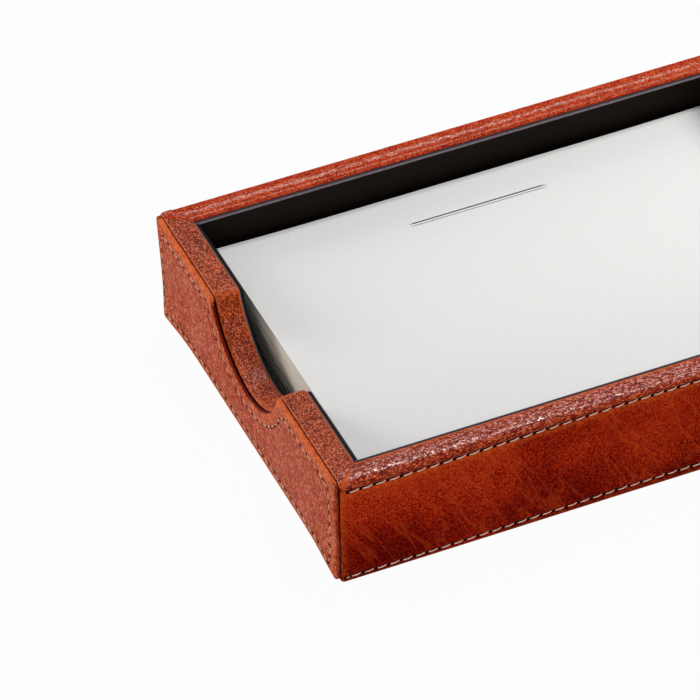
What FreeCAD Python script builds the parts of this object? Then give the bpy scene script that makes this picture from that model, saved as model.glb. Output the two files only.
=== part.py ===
"""Leather memo tray: notched end walls, padded rims, black lining and a stack of loose note sheets.

The frame is millimetres with +Z up and +X along the long side.
The origin is the middle of the footprint, on the surface that the tray stands on.
"""

import FreeCAD
import Part

import math
import os

from FreeCAD import Vector

# ---- note sheets ----
sheet_length = 148.0            # A6, lying landscape
sheet_width = 105.0
sheet_thickness = 0.2           # one heavy writing sheet
stack_height = 19.6             # the sheets below the top one
sheet_corner_radius = 0.4

# ---- clearances round the sheets ----
end_clearance = 3.6             # finger room between the sheets and each end lining
side_clearance = 2.6            # between the sheets and the front and back linings

# ---- walls and floor ----
rim_height = 34.7               # top of the padded rim over the table
board_thickness = 4.9           # wall boards
base_thickness = 3.0            # floor board
leather_thickness = 1.1
lining_thickness = 1.3
floor_lining_thickness = 1.0
lining_drop = 0.8               # the lining's edge under the rim
felt_proud = 0.3                # the felt underside below the leather round it
turn_under = 9.0                # leather turned in below the walls

# ---- shape of the rim ----
rim_roll_radius = 1.7           # padded roll along the front and back rims
rim_bulge = 0.5                 # how far the roll stands out from the wall's face
rim_inner_radius = 1.2
board_outer_radius = 1.0        # top edges of the front and back boards
board_inner_radius = 0.6
end_rim_radius = 0.9            # flatter rim over the ends, rounded outside
end_rim_bevel = 0.6             # and bevelled inside, over the well
foot_radius = 0.8               # where the leather turns under
corner_radius = 1.0             # upright corners of the body
crease_radius = 0.5             # pressed line where the roll is sewn down
crease_depth = 0.25
gusset_width = 3.0              # folded patch at each mitred corner
lining_edge_bevel = 0.3

# ---- thumb notch in each end ----
notch_radius = 24.3
notch_rise = 7.8                # height of the notch's centre over the rim
shoulder_radius = 2.6           # rounding at the top of the notch

# ---- stitched end panels ----
panel_leather_thickness = 0.9
panel_card_thickness = 0.5
panel_inset = 1.25              # from the front and back faces
panel_drop = 0.6                # the panel's edge under the rim
panel_corner_radius = 1.6
panel_edge_bevel = 0.3
panel_foot = 0.6                # panel over the table at its corners
panel_arch = 1.0                # rise of its lower edge between the corners
arch_run = 20.0                 # length over which the lower edge dips to each corner

# ---- sizes that follow ----
wall_thickness = board_thickness + 2 * leather_thickness
panel_thickness = panel_leather_thickness + panel_card_thickness
well_half_length = sheet_length / 2 + end_clearance
well_half_width = sheet_width / 2 + side_clearance
inner_half_length = well_half_length + lining_thickness
inner_half_width = well_half_width + lining_thickness
body_half_length = inner_half_length + wall_thickness
half_width = inner_half_width + wall_thickness
half_length = body_half_length + panel_thickness
board_foot = felt_proud + leather_thickness
floor_top = board_foot + base_thickness
well_floor = floor_top + floor_lining_thickness
stack_top = well_floor + stack_height
notch_centre = rim_height + notch_rise
roll_inset = rim_roll_radius - rim_bulge                # centre of the roll behind the wall's face
roll_height = rim_height - rim_roll_radius              # and over the table
crease_height = roll_height - math.sqrt(rim_roll_radius ** 2 - roll_inset ** 2)
over = 10.0                     # how far cutting bodies run past what they cut

UP = Vector(0, 0, 1)


# ---- basic shapes ----

def line(start, end):
    """Straight edge between two points."""
    return Part.LineSegment(start, end).toShape()


def arc(start, middle, end):
    """Circular edge through three points."""
    return Part.Arc(start, middle, end).toShape()


def face(edges):
    """Flat face inside a closed loop of edges."""
    return Part.Face(Part.Wire(Part.__sortEdges__(edges)))


def box(low, high):
    """Block between two opposite corners."""
    size = high - low
    return Part.makeBox(size.x, size.y, size.z, low)


def rounded(solid, radius, wanted):
    """Round the edges of a solid for which wanted(edge) holds."""
    return solid.makeFillet(radius, [edge for edge in solid.Edges if wanted(edge)])


def bevelled(solid, size, wanted):
    """Bevel the edges of a solid for which wanted(edge) holds."""
    return solid.makeChamfer(size, [edge for edge in solid.Edges if wanted(edge)])


def is_upright(edge):
    """True for a straight edge along Z."""
    return len(edge.Vertexes) == 2 and abs(edge.tangentAt(edge.FirstParameter).z) > 0.999


def plate(half_x, half_y, low, high, radius=0.0):
    """Level plate centred on the Z axis, with its upright corners rounded."""
    slab = box(Vector(-half_x, -half_y, low), Vector(half_x, half_y, high))
    return rounded(slab, radius, is_upright) if radius > 0 else slab


def tall_prism(points, low=-over, high=rim_height + over):
    """Upright prism over a plan outline of (x, y) points."""
    corners = [Vector(x, y, low) for x, y in points]
    return Part.Face(Part.makePolygon(corners + corners[:1])).extrude(UP * (high - low))


def flipped_x(shape):
    """Copy mirrored from the left to the right."""
    return shape.mirror(Vector(0, 0, 0), Vector(1, 0, 0))


def flipped_y(shape):
    """Copy mirrored from the front to the back."""
    return shape.mirror(Vector(0, 0, 0), Vector(0, 1, 0))


# ---- walls in plan ----

def mitred_front():
    """Prism over the front wall and its roll, cut at 45 degrees at both ends."""
    reach = turn_under + lining_thickness
    return tall_prism([
        (-body_half_length - rim_bulge, -half_width - rim_bulge),
        (body_half_length + rim_bulge, -half_width - rim_bulge),
        (body_half_length - reach, reach - half_width),
        (reach - body_half_length, reach - half_width),
    ])


def mitred_left():
    """Prism over the left end wall, cut at 45 degrees at both ends."""
    reach = turn_under + lining_thickness
    return tall_prism([
        (-body_half_length, -half_width),
        (-body_half_length, half_width),
        (reach - body_half_length, half_width - reach),
        (reach - body_half_length, reach - half_width),
    ])


def corner_wedge():
    """Wedge over the front left mitre, from the inner corner of the rim out to both faces."""
    left, front = -body_half_length, -half_width
    return tall_prism(
        [
            (left + wall_thickness, front + wall_thickness),
            (left, front + gusset_width),
            (left, front - rim_bulge),
            (left + gusset_width, front - rim_bulge),
        ],
        low=crease_height,
    )


def body_block():
    """Envelope of the leather body and of the rolls along its rims, with rounded upright corners."""
    walls = plate(body_half_length, half_width, 0, crease_height, corner_radius)
    rims = plate(body_half_length, half_width + rim_bulge, crease_height, rim_height + over, corner_radius)
    return walls.fuse(rims)


# ---- front wall ----

def is_level_edge(edge, y, z):
    """True for an edge along X at the given Y and Z."""
    return all(abs(v.Y - y) < 1e-4 and abs(v.Z - z) < 1e-4 for v in edge.Vertexes)


def front_board_block():
    """Board of the front wall at full length, with both its top edges rounded."""
    top = rim_height - leather_thickness
    outer = leather_thickness - half_width
    inner = outer + board_thickness
    board = box(Vector(-body_half_length, outer, board_foot), Vector(body_half_length, inner, top))
    board = rounded(board, board_outer_radius, lambda edge: is_level_edge(edge, outer, top))
    return rounded(board, board_inner_radius, lambda edge: is_level_edge(edge, inner, top))


def front_section():
    """Section through the leather of the front wall: upright face, padded roll, flat top and inner shoulder."""
    def at(inwards, height):
        return Vector(0, inwards - half_width, height)

    shoulder = wall_thickness - rim_inner_radius
    bend = rim_inner_radius * math.sqrt(0.5)
    return face([
        line(at(0, felt_proud), at(0, crease_height)),
        arc(at(0, crease_height), at(-rim_bulge, roll_height), at(roll_inset, rim_height)),
        line(at(roll_inset, rim_height), at(shoulder, rim_height)),
        arc(
            at(shoulder, rim_height),
            at(shoulder + bend, rim_height - rim_inner_radius + bend),
            at(wall_thickness, rim_height - rim_inner_radius),
        ),
        line(at(wall_thickness, rim_height - rim_inner_radius), at(wall_thickness, felt_proud)),
        line(at(wall_thickness, felt_proud), at(0, felt_proud)),
    ])


def front_leather_block():
    """Outer shape of the leather over the front wall, with its foot rounded and its crease pressed in."""
    block = front_section().extrude(Vector(2 * (body_half_length + rim_bulge), 0, 0))
    block.translate(Vector(-body_half_length - rim_bulge, 0, 0))
    block = rounded(block, foot_radius, lambda edge: is_level_edge(edge, -half_width, felt_proud))
    crease = Part.makeCylinder(
        crease_radius,
        2 * (body_half_length + over),
        Vector(-body_half_length - over, crease_depth - crease_radius - half_width, crease_height),
        Vector(1, 0, 0),
    )
    return block.cut(crease)


def front_leather():
    """Leather of the front wall: turned under, up the face, over the rim and down inside."""
    flange = box(
        Vector(-body_half_length, wall_thickness - half_width, felt_proud),
        Vector(body_half_length, turn_under - half_width, board_foot),
    )
    base_edge = box(
        Vector(-body_half_length, wall_thickness - leather_thickness - half_width, board_foot),
        Vector(body_half_length, turn_under - half_width, floor_top),
    )
    skin = front_leather_block().fuse(flange).cut(front_board_block()).cut(base_edge)
    return skin.common(mitred_front()).common(body_block()).cut(corner_wedges()).removeSplitter()


# ---- notched end wall ----

def notched_outline(half_span, foot, offset, arch=0.0):
    """Face of an end wall in the YZ plane, with its thumb notch and the rounded shoulders of the notch.

    offset is how far the edge lies inside the rim's own outline, along the top and round the notch.
    """
    top = rim_height - offset
    radius = notch_radius + offset
    shoulder = max(shoulder_radius - offset, 0.5)
    shoulder_z = top - shoulder
    shoulder_y = math.sqrt((radius + shoulder) ** 2 - (notch_centre - shoulder_z) ** 2)
    middle = Vector(0, 0, notch_centre)
    edges = [arc(
        notch_point(shoulder_y, shoulder_z, radius, 1),
        middle - UP * radius,
        notch_point(shoulder_y, shoulder_z, radius, -1),
    )]
    for side in (-1, 1):
        centre = Vector(0, side * shoulder_y, shoulder_z)
        touch = notch_point(shoulder_y, shoulder_z, radius, side)
        knee = centre + (UP + (touch - centre).normalize()).normalize() * shoulder
        crown = centre + UP * shoulder
        top_corner = Vector(0, side * half_span, top)
        low_corner = Vector(0, side * half_span, foot)
        edges += [arc(touch, knee, crown), line(crown, top_corner), line(top_corner, low_corner)]
    return face(edges + foot_edges(half_span, foot, arch))


def notch_point(shoulder_y, shoulder_z, radius, side):
    """Point where the notch's arc runs into the shoulder on one side."""
    middle = Vector(0, 0, notch_centre)
    toward = Vector(0, side * shoulder_y, shoulder_z) - middle
    return middle + toward.normalize() * radius


def foot_edges(half_span, foot, arch):
    """Lower edge of an end outline: straight, or level and dipping to each corner on a long arc."""
    if arch <= 0:
        return [line(Vector(0, -half_span, foot), Vector(0, half_span, foot))]
    level = foot + arch
    radius = (arch_run ** 2 + arch ** 2) / (2 * arch)
    half_dip = radius - math.sqrt(radius ** 2 - (arch_run / 2) ** 2)
    level_end = half_span - arch_run
    edges = [line(Vector(0, -level_end, level), Vector(0, level_end, level))]
    for side in (-1, 1):
        edges.append(arc(
            Vector(0, side * level_end, level),
            Vector(0, side * (level_end + arch_run / 2), level - half_dip),
            Vector(0, side * half_span, foot),
        ))
    return edges


def end_block(outline, outer, thickness):
    """Solid of an end outline, running inwards from the X of its outer face."""
    solid = outline.extrude(Vector(thickness, 0, 0))
    solid.translate(Vector(outer, 0, 0))
    return solid


def lies_on(edge, x, low):
    """True for an edge in the plane at the given X, wholly above low."""
    return all(abs(v.X - x) < 1e-4 and v.Z > low for v in edge.Vertexes)


def left_board_block():
    """Notched board of the left end, before its mitres."""
    outline = notched_outline(half_width, board_foot, leather_thickness)
    return end_block(outline, leather_thickness - body_half_length, board_thickness)


def left_leather_block():
    """Outer shape of the leather over the left end, with the edges of its rim and notch softened."""
    outer = -body_half_length
    inner = wall_thickness - body_half_length
    block = end_block(notched_outline(half_width + rim_bulge, felt_proud, 0.0), outer, wall_thickness)
    block = rounded(block, end_rim_radius, lambda edge: lies_on(edge, outer, board_foot))
    return bevelled(block, end_rim_bevel, lambda edge: lies_on(edge, inner, board_foot))


def left_leather():
    """Leather sleeve of the left end: it follows the thumb notch and is turned under the wall."""
    outer = -body_half_length
    flange = box(
        Vector(outer + wall_thickness, -half_width, felt_proud),
        Vector(outer + turn_under, half_width, board_foot),
    )
    base_edge = box(
        Vector(outer + wall_thickness - leather_thickness, -half_width, board_foot),
        Vector(outer + turn_under, half_width, floor_top),
    )
    sleeve = left_leather_block().fuse(flange).cut(left_board_block()).cut(base_edge)
    return sleeve.common(mitred_left()).common(body_block()).cut(corner_wedges()).removeSplitter()


# ---- mitred corners ----

def corner_wedges():
    """The wedges over all four mitres."""
    front_left = corner_wedge()
    front = front_left.fuse(flipped_x(front_left))
    return front.fuse(flipped_y(front))


def front_left_gusset():
    """Folded leather patch that closes the front left mitre between the two rims."""
    patch = front_leather_block().common(left_leather_block()).common(corner_wedge())
    return patch.cut(front_board()).cut(left_board()).common(body_block())


# ---- boards, lining, underside ----

def front_board():
    """Front wall board, mitred, with its top rounded to carry the padded rim."""
    return front_board_block().common(mitred_front())


def left_board():
    """Left wall board, mitred and notched."""
    return left_board_block().common(mitred_left())


def base_board():
    """Floor board between the four walls."""
    margin = wall_thickness - leather_thickness
    return plate(body_half_length - margin, half_width - margin, board_foot, floor_top)


def base_felt():
    """Felt underside inside the leather's turned-in border, which the tray stands on."""
    return plate(body_half_length - turn_under, half_width - turn_under, 0, board_foot)


def floor_lining():
    """Black board on the floor of the well."""
    return plate(inner_half_length, inner_half_width, floor_top, well_floor)


def front_lining():
    """Black board against the inside of the front wall."""
    top = rim_height - lining_drop
    board = box(
        Vector(-inner_half_length, -inner_half_width, well_floor),
        Vector(inner_half_length, -well_half_width, top),
    )
    return bevelled(board, lining_edge_bevel, lambda edge: is_level_edge(edge, -well_half_width, top))


def left_lining():
    """Black board against the inside of the left end, with the same notch."""
    outline = notched_outline(well_half_width, well_floor, lining_drop)
    board = end_block(outline, -inner_half_length, lining_thickness)
    return bevelled(board, lining_edge_bevel, lambda edge: lies_on(edge, -well_half_length, well_floor))


# ---- stitched end panel ----

def panel_block(margin, outer, thickness):
    """Notched, arched plate of the end panel, shrunk by margin, running inwards from its outer X."""
    half_span = half_width - panel_inset - margin
    foot = panel_foot + margin
    outline = notched_outline(half_span, foot, panel_drop + margin, panel_arch)
    block = end_block(outline, outer, thickness)
    corners = [e for e in block.Edges if all(abs(abs(v.Y) - half_span) < 1e-4 for v in e.Vertexes)]
    across = [e for e in corners if abs(e.tangentAt(e.FirstParameter).x) > 0.999]
    return block.makeFillet(max(panel_corner_radius - margin, 0.3), across)


def left_panel_card():
    """Card stiffener inside the left end panel."""
    return panel_block(panel_leather_thickness, panel_leather_thickness - half_length, panel_card_thickness)


def left_panel_leather():
    """Leather of the left end panel, turned in round the card, with a bevelled outer edge."""
    panel = panel_block(0.0, -half_length, panel_thickness)
    panel = bevelled(panel, panel_edge_bevel, lambda edge: lies_on(edge, -half_length, 0))
    return panel.cut(left_panel_card())


# ---- note sheets ----

def sheet_stack():
    """The loose sheets below the top one."""
    return plate(sheet_length / 2, sheet_width / 2, well_floor, stack_top, sheet_corner_radius)


def top_sheet():
    """The uppermost note sheet."""
    return plate(
        sheet_length / 2, sheet_width / 2, stack_top, stack_top + sheet_thickness, sheet_corner_radius
    )


def sub_parts():
    """Every sub-part by its node name."""
    parts = {
        "base_board": base_board(),
        "base_felt": base_felt(),
        "floor_lining": floor_lining(),
        "sheet_stack": sheet_stack(),
        "top_sheet": top_sheet(),
    }
    fronts = {"board": front_board(), "leather": front_leather(), "lining": front_lining()}
    for name, shape in fronts.items():
        parts["front_" + name] = shape
        parts["back_" + name] = flipped_y(shape)
    ends = {
        "board": left_board(),
        "leather": left_leather(),
        "lining": left_lining(),
        "panel_card": left_panel_card(),
        "panel_leather": left_panel_leather(),
    }
    for name, shape in ends.items():
        parts["left_" + name] = shape
        parts["right_" + name] = flipped_x(shape)
    gusset = front_left_gusset()
    parts["front_left_gusset"] = gusset
    parts["front_right_gusset"] = flipped_x(gusset)
    parts["back_left_gusset"] = flipped_y(gusset)
    parts["back_right_gusset"] = flipped_x(flipped_y(gusset))
    return parts


def main():
    """Write one STEP file for each sub-part."""
    os.makedirs("parts", exist_ok=True)
    for name, shape in sub_parts().items():
        shape.exportStep(os.path.join("parts", name + ".step"))


main()
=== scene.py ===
"""Looks of the leather memo tray: hides, linings, stitching, note sheets, studio and camera.

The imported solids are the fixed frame, and each piece here lies where its solid lies.
Sizes are millimetres, and become metres where a mesh is made.
"""

import logging
import math
from dataclasses import dataclass
from enum import Enum
from functools import cached_property
from typing import Any, Callable, Sequence

import bpy
import numpy as np
from mathutils import Matrix, Vector, geometry, kdtree, noise


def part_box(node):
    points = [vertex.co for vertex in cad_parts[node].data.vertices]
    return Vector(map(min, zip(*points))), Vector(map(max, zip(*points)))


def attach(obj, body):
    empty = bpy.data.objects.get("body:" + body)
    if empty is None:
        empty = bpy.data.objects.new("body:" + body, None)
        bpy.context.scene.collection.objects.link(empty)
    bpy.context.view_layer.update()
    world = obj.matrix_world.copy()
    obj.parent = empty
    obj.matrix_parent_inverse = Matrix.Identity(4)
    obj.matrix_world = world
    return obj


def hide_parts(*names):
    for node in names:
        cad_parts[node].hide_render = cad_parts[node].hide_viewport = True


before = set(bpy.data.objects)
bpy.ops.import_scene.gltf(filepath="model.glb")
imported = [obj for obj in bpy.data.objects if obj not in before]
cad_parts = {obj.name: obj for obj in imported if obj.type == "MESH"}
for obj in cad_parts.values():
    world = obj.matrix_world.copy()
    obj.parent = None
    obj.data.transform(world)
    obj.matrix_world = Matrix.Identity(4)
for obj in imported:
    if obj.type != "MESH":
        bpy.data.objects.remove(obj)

log = logging.getLogger("memo_tray")
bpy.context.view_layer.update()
MM = 0.001
Array = np.ndarray
Solid = bpy.types.Object


# ---- measures ----

def reach(node: str, axis: int) -> tuple[float, float]:
    """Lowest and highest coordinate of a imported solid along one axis, in mm."""
    low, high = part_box(node)
    return low[axis] / MM, high[axis] / MM


class End(Enum):
    """The two short ends; the value is the side of the X axis."""

    LEFT = -1
    RIGHT = 1


class Flank(Enum):
    """The two long walls; the value is the side of the Y axis."""

    FRONT = -1
    BACK = 1


@dataclass(frozen=True)
class TraySizes:
    """Sizes that several sub-assemblies share, in mm."""

    body_half_length: float = -reach("left_leather", 0)[0]
    half_length: float = -reach("left_panel_leather", 0)[0]
    rim_bulge: float = 0.5
    half_width: float = -reach("front_leather", 1)[0] - 0.5
    rim_height: float = reach("front_leather", 2)[1]
    foot: float = reach("front_leather", 2)[0]
    wall: float = -reach("left_leather", 0)[0] + reach("left_lining", 0)[0]
    turn_under: float = 9.0
    roll_radius: float = 1.7
    inner_radius: float = 1.2
    end_radius: float = 0.9
    foot_radius: float = 0.8
    corner_radius: float = 1.0
    gusset_width: float = 3.0
    notch_radius: float = 24.3
    notch_rise: float = 7.8
    shoulder_radius: float = 2.6
    stitch_pitch: float = 3.83

    @property
    def roll_inset(self) -> float:
        """How far the roll's centre lies behind the wall's face."""
        return self.roll_radius - self.rim_bulge

    @property
    def roll_height(self) -> float:
        """Height of the roll's centre."""
        return self.rim_height - self.roll_radius

    @property
    def crease(self) -> float:
        """Height of the sewn crease under the roll."""
        return self.roll_height - math.sqrt(self.roll_radius**2 - self.roll_inset**2)

    def crown(self, u: Array, flank: Flank) -> Array:
        """Rise of a roll's top at a depth behind the wall's face; the back roll is stuffed fuller."""
        fuller = 0.34 * bell(u - 0.2, 3.0) if flank is Flank.BACK else 0.0
        return 0.16 * bell(u - 2.4, 1.4) + fuller

    @property
    def notch_centre(self) -> float:
        """Height of the centre of the notch's arc."""
        return self.rim_height + self.notch_rise


# ---- mesh building ----

def arc(centre: tuple[float, float], radius: float, start: float, end: float, count: int) -> Array:
    """Points on a circular arc.

    Args:
        centre: Middle of the arc.
        radius: Its radius.
        start: First angle in degrees.
        end: Last angle in degrees.
        count: How many points it has.

    Returns:
        Rows of two coordinates.
    """
    angles = np.radians(np.linspace(start, end, count))
    return np.column_stack([centre[0] + radius * np.cos(angles), centre[1] + radius * np.sin(angles)])


def run(start: tuple[float, float], end: tuple[float, float], step: float) -> Array:
    """Points on a straight run, about one step apart."""
    count = max(2, int(math.dist(start, end) / step) + 1)
    return np.linspace(start, end, count)


def chain(*pieces: Array) -> Array:
    """Joins runs and arcs end to end, and drops points that repeat.

    Args:
        pieces: Rows of points.

    Returns:
        All points in one array.
    """
    points = np.vstack(pieces)
    keep = np.ones(len(points), bool)
    keep[1:] = np.linalg.norm(np.diff(points, axis=0), axis=1) > 1e-4
    return points[keep]


def side_vectors(points: Array) -> Array:
    """Unit vectors to the left of the way that a flat line runs.

    Args:
        points: Points of the line.

    Returns:
        One vector for each point.
    """
    along = np.gradient(points, axis=0)
    along /= np.linalg.norm(along, axis=1)[:, None]
    return np.column_stack([-along[:, 1], along[:, 0]])


def line_lengths(points: Array) -> Array:
    """Distance along a line to each of its points."""
    steps = np.linalg.norm(np.diff(points, axis=0), axis=1)
    return np.concatenate([[0.0], np.cumsum(steps)])


def resampled(points: Array, pitch: float) -> Array:
    """Spaces points evenly along a line, as near to the pitch as its length allows.

    Args:
        points: The line's own points.
        pitch: The spacing that is wanted.

    Returns:
        The new points, from the line's start to its end.
    """
    lengths = line_lengths(points)
    count = max(1, round(lengths[-1] / pitch))
    places = np.linspace(0, lengths[-1], count + 1)
    return np.column_stack([np.interp(places, lengths, points[:, k]) for k in range(points.shape[1])])


def unit(value: Array) -> Array:
    """Limits a value to the span from 0 to 1."""
    return np.clip(value, 0, 1)


def joined(*parts: Array) -> Array:
    """Points from their coordinates, which are spread over each other's rows and columns."""
    return np.stack(np.broadcast_arrays(*parts), -1)


def closed(points: Array) -> Array:
    """A loop with its first point repeated at its end."""
    return np.vstack([points, points[:1]])


def tube_faces(rings: int, sides: int) -> list[tuple[int, ...]]:
    """Faces of an open tube whose vertices are counted ring by ring."""
    ring = [(k, (k + 1) % sides, sides + (k + 1) % sides, sides + k) for k in range(sides)]
    return [tuple(r * sides + corner for corner in face) for r in range(rings - 1) for face in ring]


def bell(value: Array, width: float) -> Array:
    """Smooth hump of height one, with the given half width."""
    return np.exp(-((value / width) ** 2))


def ripple(points: Array, size: float, seed: float = 0.0) -> Array:
    """Smooth noise between about minus and plus one, with lumps of the given size."""
    values = [noise.noise(Vector(p) / size + Vector((seed,) * 3)) for p in points.reshape(-1, 3)]
    return np.reshape(values, points.shape[:-1])


def stand(name: str, data: bpy.types.ID) -> Solid:
    """Adds an object to the scene.

    Args:
        name: Its name.
        data: Its mesh, lamp or camera.

    Returns:
        The object.
    """
    piece = bpy.data.objects.new(name, data)
    bpy.context.scene.collection.objects.link(piece)
    return piece


class Skin:
    """Vertices, faces and values of bareness and painted shade that are gathered for one piece."""

    def __init__(self, name: str) -> None:
        """Starts an empty skin.

        Args:
            name: The piece's name.
        """
        self.name = name
        self.points: list[Array] = []
        self.faces: list[tuple[int, ...]] = []
        self.wear_and_shade: list[Array] = []

    def add(self, points: Array, faces: Sequence[tuple[int, ...]], wear_and_shade: Array | None = None) -> None:
        """Adds loose faces.

        Args:
            points: Vertex places in mm.
            faces: Corner numbers that count from this patch's first vertex.
            wear_and_shade: How bare each vertex is, up to 1; below 0, down to -1, how dark it is painted as
                shade in seams, gaps and creases.
        """
        start = sum(len(p) for p in self.points)
        self.points.append(np.asarray(points, float))
        self.faces += [tuple(start + i for i in f) for f in faces]
        self.wear_and_shade.append(np.zeros(len(points)) if wear_and_shade is None else np.asarray(wear_and_shade, float))

    def grid(self, points: Array, outward: Sequence[float], wear_and_shade: Array | None = None) -> None:
        """Adds a patch of four-sided faces.

        Args:
            points: Places in rows and columns, as an array of rows x columns x 3.
            outward: Rough direction that the patch's middle faces.
            wear_and_shade: The same values in rows and columns.
        """
        rows, columns = points.shape[:2]
        i, j = rows // 2, columns // 2
        a, b, c = points[i - 1, j - 1], points[i, j - 1], points[i, j]
        flip = np.dot(np.cross(b - a, c - b), outward) < 0
        index = np.arange(rows * columns).reshape(rows, columns)
        corners = index[:-1, :-1], index[1:, :-1], index[1:, 1:], index[:-1, 1:]
        quads = np.stack(corners, -1).reshape(-1, 4)
        quads = quads[:, ::-1] if flip else quads
        wear_and_shade = None if wear_and_shade is None else wear_and_shade.ravel()
        self.add(points.reshape(-1, 3), [tuple(q) for q in quads.tolist()], wear_and_shade)

    def build(self, finish: "Hide | Finish", body: str, slot: str, *nodes: str) -> Solid:
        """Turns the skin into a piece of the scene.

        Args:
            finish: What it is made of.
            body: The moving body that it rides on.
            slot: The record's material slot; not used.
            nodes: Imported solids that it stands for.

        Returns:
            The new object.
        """
        mesh = bpy.data.meshes.new(self.name)
        mesh.from_pydata((np.vstack(self.points) * MM).tolist(), [], self.faces)
        mesh.shade_smooth()
        worn = mesh.attributes.new("wear_and_shade", "FLOAT", "POINT")
        worn.data.foreach_set("value", np.concatenate(self.wear_and_shade).astype(np.float32))
        mesh.materials.append(SHOP.paint(finish))
        piece = stand(self.name, mesh)
        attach(piece, body)
        if nodes:
            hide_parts(*nodes)
        log.info("%s: %d faces on %s", self.name, len(mesh.polygons), body)
        return piece


# ---- finishes ----

def linear(code: str) -> tuple[float, float, float, float]:
    """Turns an sRGB hex colour into linear values with full opacity.

    Args:
        code: The colour, as #rrggbb.

    Returns:
        Red, green, blue and opacity.
    """
    parts = [int(code[i:i + 2], 16) / 255 for i in (1, 3, 5)]
    values = [p / 12.92 if p <= 0.04045 else ((p + 0.055) / 1.055) ** 2.4 for p in parts]
    return values[0], values[1], values[2], 1.0


def per_metre(size: float) -> float:
    """Texture scale at which one cell or lump measures the given size in mm."""
    return 1.0 / (size * MM)


class Nodes:
    """A node tree while it is filled."""

    def __init__(self, tree: bpy.types.NodeTree) -> None:
        """Starts with an empty tree."""
        self.tree = tree
        tree.nodes.clear()

    def add(self, kind: str, links: dict[Any, Any] | None = None, **settings: Any) -> bpy.types.Node:
        """Adds one node with its settings and links.

        Args:
            kind: Blender's name for the node type.
            links: Inputs by name or number, each with a value or with the output that feeds it.
            settings: Properties of the node itself.

        Returns:
            The new node.
        """
        node = self.tree.nodes.new(kind)
        for key, value in settings.items():
            setattr(node, key, value)
        for key, value in (links or {}).items():
            if isinstance(value, bpy.types.NodeSocket):
                self.tree.links.new(value, node.inputs[key])
            else:
                node.inputs[key].default_value = value
        return node

    def math(self, operation: str, *values: Any, clamp: bool = False) -> bpy.types.NodeSocket:
        """Sum, product or the like of values and sockets."""
        links = dict(enumerate(values))
        return self.add("ShaderNodeMath", links, operation=operation, use_clamp=clamp).outputs[0]

    def scaled(self, vector: Any, by: Any, *plus: Any) -> bpy.types.NodeSocket:
        """Multiplies a vector part by part, and adds another one where it is given.

        Args:
            vector: The vector.
            by: What each of its parts is multiplied by.
            plus: Another vector to add.

        Returns:
            The result's socket.
        """
        links = dict(enumerate((vector, by, *plus)))
        operation = "MULTIPLY_ADD" if plus else "MULTIPLY"
        return self.add("ShaderNodeVectorMath", links, operation=operation).outputs[0]

    def ramp(self, value: Any, start: float = 0.0, end: float = 1.0, low: float = 0.0, high: float = 1.0,
             **settings: Any) -> bpy.types.NodeSocket:
        """Carries a value's span from start to end over to the span from low to high."""
        links = {"Value": value, "From Min": start, "From Max": end, "To Min": low, "To Max": high}
        return self.add("ShaderNodeMapRange", links, **settings).outputs[0]

    def mix(self, share: Any, first: Any, second: Any) -> bpy.types.NodeSocket:
        """Blends two colours, each given as a hex code or a socket."""
        first, second = (linear(c) if isinstance(c, str) else c for c in (first, second))
        return self.add("ShaderNodeMix", {0: share, 6: first, 7: second}, data_type="RGBA").outputs[2]

    def part(self, vector: Any, axis: str) -> bpy.types.NodeSocket:
        """One coordinate of a vector."""
        return self.add("ShaderNodeSeparateXYZ", {0: vector}).outputs[axis]


class Paint(Nodes):
    """The nodes of one material."""

    def __init__(self, name: str) -> None:
        """Starts a material with a bare surface shader.

        Args:
            name: The material's name.
        """
        self.material = bpy.data.materials.new(name)
        self.material.use_nodes = True
        super().__init__(self.material.node_tree)
        self.shader = self.add("ShaderNodeBsdfPrincipled")
        self.output = self.add("ShaderNodeOutputMaterial", {"Surface": self.shader.outputs[0]})

    @cached_property
    def place(self) -> bpy.types.NodeSocket:
        """The place on the piece, in metres."""
        return self.add("ShaderNodeTexCoord").outputs["Object"]

    @cached_property
    def wear_and_shade(self) -> bpy.types.NodeSocket:
        """The mesh's value of bareness and painted shade."""
        return self.add("ShaderNodeAttribute", attribute_name="wear_and_shade").outputs["Fac"]

    def clouds(self, size: float, detail: float, vector: Any = None, roughness: float = 0.5,
               output: str = "Fac") -> bpy.types.NodeSocket:
        """Adds smooth noise.

        Args:
            size: Width of a lump in mm.
            detail: How many finer layers lie over it.
            vector: Where it is read, if not on the piece.
            roughness: Strength of the finer layers.
            output: Fac or Color.

        Returns:
            The noise's socket.
        """
        place = self.place if vector is None else vector
        links = {"Vector": place, "Scale": per_metre(size), "Detail": detail, "Roughness": roughness}
        return self.add("ShaderNodeTexNoise", links).outputs[output]

    def bump(self, height: Any, size: float) -> bpy.types.NodeSocket:
        """Relief of the given size in mm, as a normal."""
        return self.add("ShaderNodeBump", {"Height": height, "Distance": size * MM}).outputs[0]

    def finish(self, **inputs: Any) -> bpy.types.Material:
        """Sets or feeds the surface shader's inputs.

        Args:
            inputs: Values or sockets by input name, with underscores for spaces.

        Returns:
            The material.
        """
        for key, value in inputs.items():
            socket = self.shader.inputs[key.replace("_", " ")]
            if isinstance(value, bpy.types.NodeSocket):
                self.tree.links.new(value, socket)
            else:
                socket.default_value = value
        return self.material


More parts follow.
